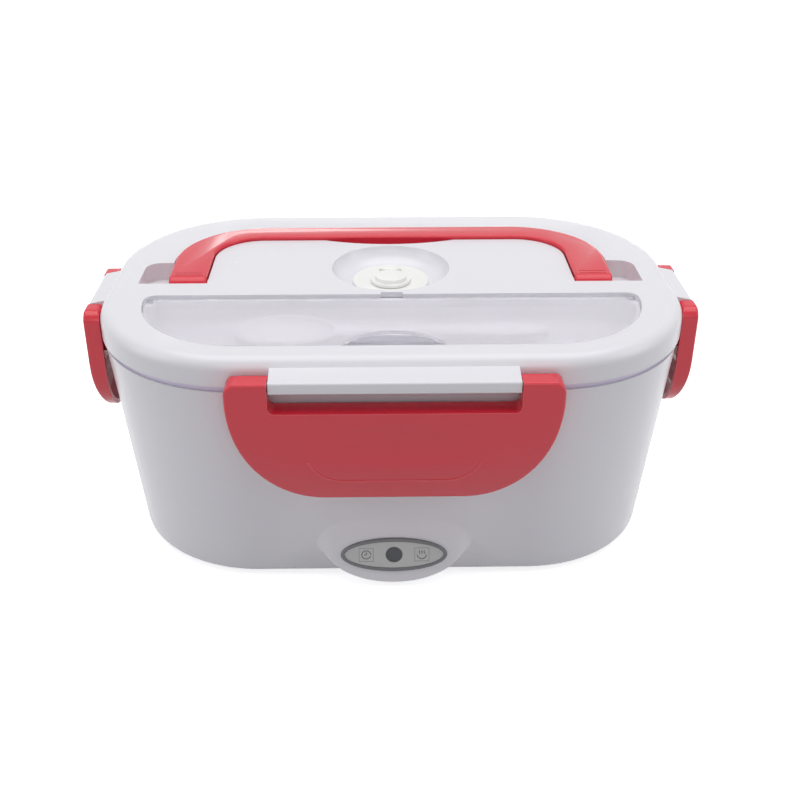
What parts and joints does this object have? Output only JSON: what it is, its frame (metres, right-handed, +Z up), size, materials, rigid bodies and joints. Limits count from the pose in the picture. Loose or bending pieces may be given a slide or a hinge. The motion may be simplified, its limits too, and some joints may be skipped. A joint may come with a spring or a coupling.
{
  "type": "electric lunch box",
  "caption": "Portable electric lunch box: drafted oblong case with heated pot, lift-off latched lid, carry handle, spoon compartment, steam vent, tray and side dish.",
  "frame": {"origin": "middle of the footprint at the underside of the feet", "axes": "+X to the right along the long side, -Y is the front with the indicator, +Z up"},
  "size_m": [0.24, 0.168, 0.1016],
  "materials": {
    "white_shell": "smooth moulded white plastic",
    "liner_plastic": "smooth moulded plastic",
    "food_plastic": "food-safe moulded plastic",
    "cutlery_plastic": "smooth white plastic",
    "red_plastic": "polished moulded red plastic",
    "clear_plastic": "frosted clear plastic",
    "silicone": "soft translucent silicone",
    "foot_rubber": "soft rubber",
    "plate_aluminium": "bead-blasted aluminium",
    "screw_steel": "zinc-plated steel",
    "heater_ceramic": "ceramic in foil",
    "switch_plastic": "moulded phenolic",
    "black_plastic": "fine-grained black plastic",
    "pin_brass": "bare brass",
    "lead_insulation": "silicone-insulated wire",
    "bezel_grey": "grey plastic frame",
    "panel_grey": "satin grey plate",
    "lens_dark": "dark tinted lens",
    "lamp_glass": "clear lamp glass"
  },
  "bodies": {
    "case": {"case_shell": "white_shell", "inner_liner": "liner_plastic", "bottom_cover": "white_shell", "feet": "foot_rubber", "bottom_screws": "screw_steel", "heating_plate": "plate_aluminium", "heater_element": "heater_ceramic", "heater_clamp": "screw_steel", "clamp_screws": "screw_steel", "thermostat": "switch_plastic", "thermal_fuse": "switch_plastic", "inlet_housing": "black_plastic", "inlet_pins": "pin_brass", "power_leads": "lead_insulation", "lamp_leads": "lead_insulation", "indicator_bezel": "bezel_grey", "indicator_plate": "panel_grey", "indicator_lens": "lens_dark", "neon_lamp": "lamp_glass", "lamp_sleeve": "silicone"},
    "lid": {"lid_shell": "white_shell", "lid_seal": "silicone", "vent_seat": "silicone", "spoon": "cutlery_plastic"},
    "latch_front": {"front_latch": "red_plastic"},
    "latch_rear": {"rear_latch": "red_plastic"},
    "latch_left": {"left_latch": "red_plastic"},
    "latch_right": {"right_latch": "red_plastic"},
    "handle": {"carry_handle": "red_plastic"},
    "steam_flap": {"vent_flap": "silicone"},
    "bay_cover": {"spoon_cover": "clear_plastic"},
    "tray": {"food_tray": "food_plastic"},
    "dish": {"side_dish": "food_plastic"},
    "dish_cap": {"side_dish_lid": "clear_plastic"}
  },
  "joints": [
    {"name": "lid_lift", "type": "slide", "parent": "case", "child": "lid", "axis": [0, 0, 1], "range_m": [0, 0.16]},
    {"name": "front_latch_swing", "type": "hinge", "parent": "lid", "child": "latch_front", "pos_m": [0, -0.0796, 0.0926], "axis": [-1, 0, 0], "range_deg": [0, 105]},
    {"name": "rear_latch_swing", "type": "hinge", "parent": "lid", "child": "latch_rear", "pos_m": [0, 0.0796, 0.0926], "axis": [1, 0, 0], "range_deg": [0, 105]},
    {"name": "left_latch_swing", "type": "hinge", "parent": "lid", "child": "latch_left", "pos_m": [-0.1172, 0, 0.0926], "axis": [0, 1, 0], "range_deg": [0, 105]},
    {"name": "right_latch_swing", "type": "hinge", "parent": "lid", "child": "latch_right", "pos_m": [0.1172, 0, 0.0926], "axis": [0, -1, 0], "range_deg": [0, 105]},
    {"name": "handle_swing", "type": "hinge", "parent": "lid", "child": "handle", "pos_m": [0, -0.002, 0.0973], "axis": [1, 0, 0], "range_deg": [0, 90]},
    {"name": "steam_flap_swing", "type": "hinge", "parent": "lid", "child": "steam_flap", "pos_m": [0, 0.0157, 0.096], "axis": [-1, 0, 0], "range_deg": [0, 90]},
    {"name": "bay_cover_swing", "type": "hinge", "parent": "lid", "child": "bay_cover", "pos_m": [0, -0.0196, 0.098], "axis": [-1, 0, 0], "range_deg": [0, 85]},
    {"name": "tray_lift", "type": "slide", "parent": "case", "child": "tray", "axis": [0, 0, 1], "range_m": [0, 0.064]},
    {"name": "dish_lift", "type": "slide", "parent": "tray", "child": "dish", "axis": [0, 0, 1], "range_m": [0, 0.0528]},
    {"name": "dish_cap_lift", "type": "slide", "parent": "dish", "child": "dish_cap", "axis": [0, 0, 1], "range_m": [0, 0.016]}
  ],
  "couplings": [
    {"joint": "tray_lift", "follows": "lid_lift", "ratio": 0.4},
    {"joint": "dish_lift", "follows": "lid_lift", "ratio": 0.33},
    {"joint": "dish_cap_lift", "follows": "lid_lift", "ratio": 0.1}
  ]
}
